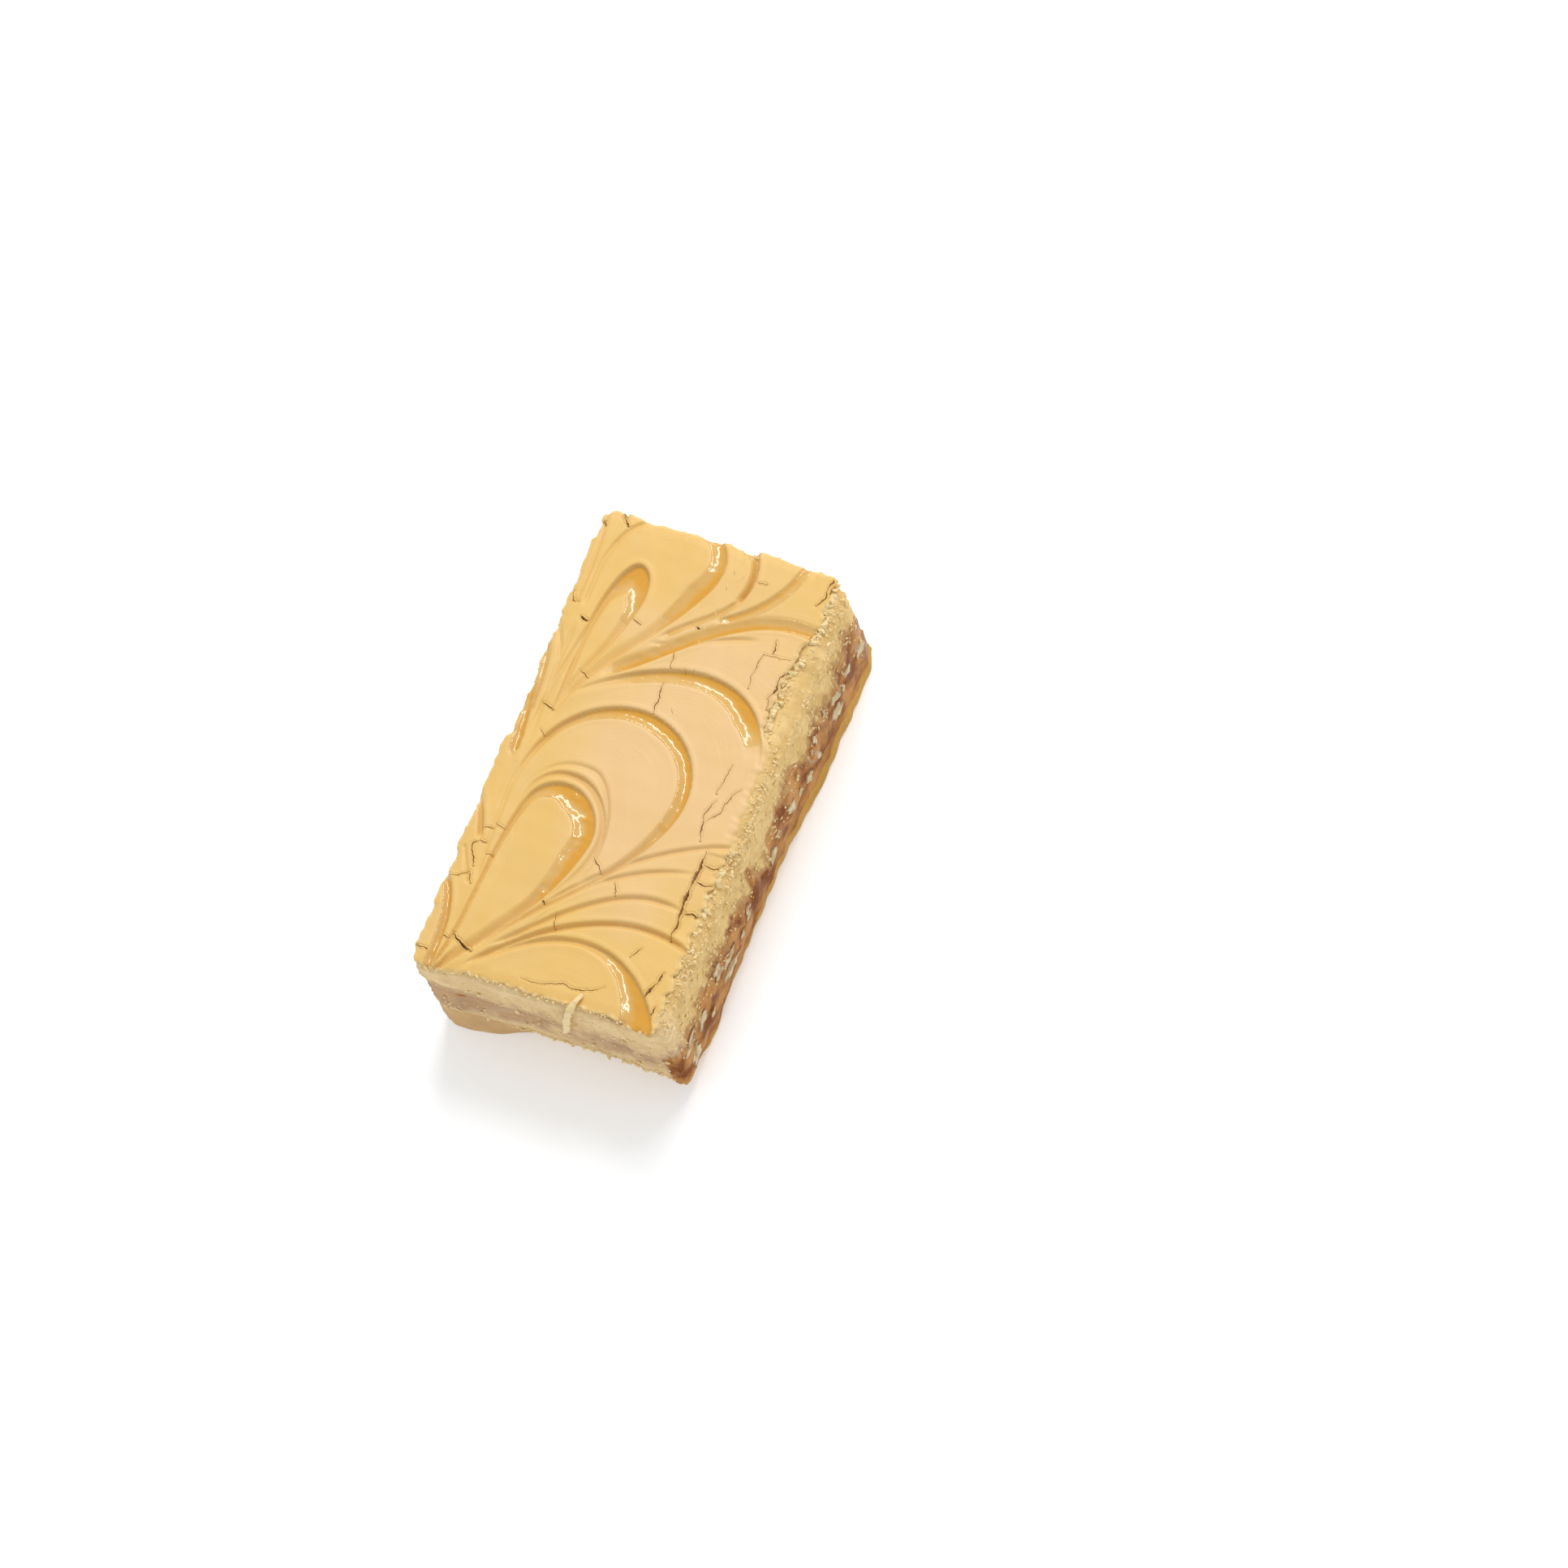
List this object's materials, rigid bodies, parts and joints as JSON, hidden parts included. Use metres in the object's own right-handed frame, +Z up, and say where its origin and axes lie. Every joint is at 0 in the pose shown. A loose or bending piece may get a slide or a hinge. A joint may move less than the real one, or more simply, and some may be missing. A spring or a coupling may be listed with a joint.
{
  "type": "penuche fudge slice",
  "caption": "Rectangular slice of penuche fudge with a swirled caramel-glazed crust, a caramel and pecan layer, and a thin fudge base.",
  "frame": {"origin": "middle of the underside, on the surface the slice lies on", "axes": "+X across the slice, +Y along its length, +Z up through the swirled crust"},
  "size_m": [0.0563, 0.1037, 0.0315],
  "materials": {
    "penuche_fudge": "satin tan sugar crust with glossy caramel in the swirls",
    "pecan_caramel": "soft glossy caramel with pecan pieces",
    "base_fudge": "matt fine-grained fudge"
  },
  "bodies": {
    "root": {"top_fudge": "penuche_fudge", "caramel_layer": "pecan_caramel", "base_fudge": "base_fudge"}
  },
  "joints": []
}
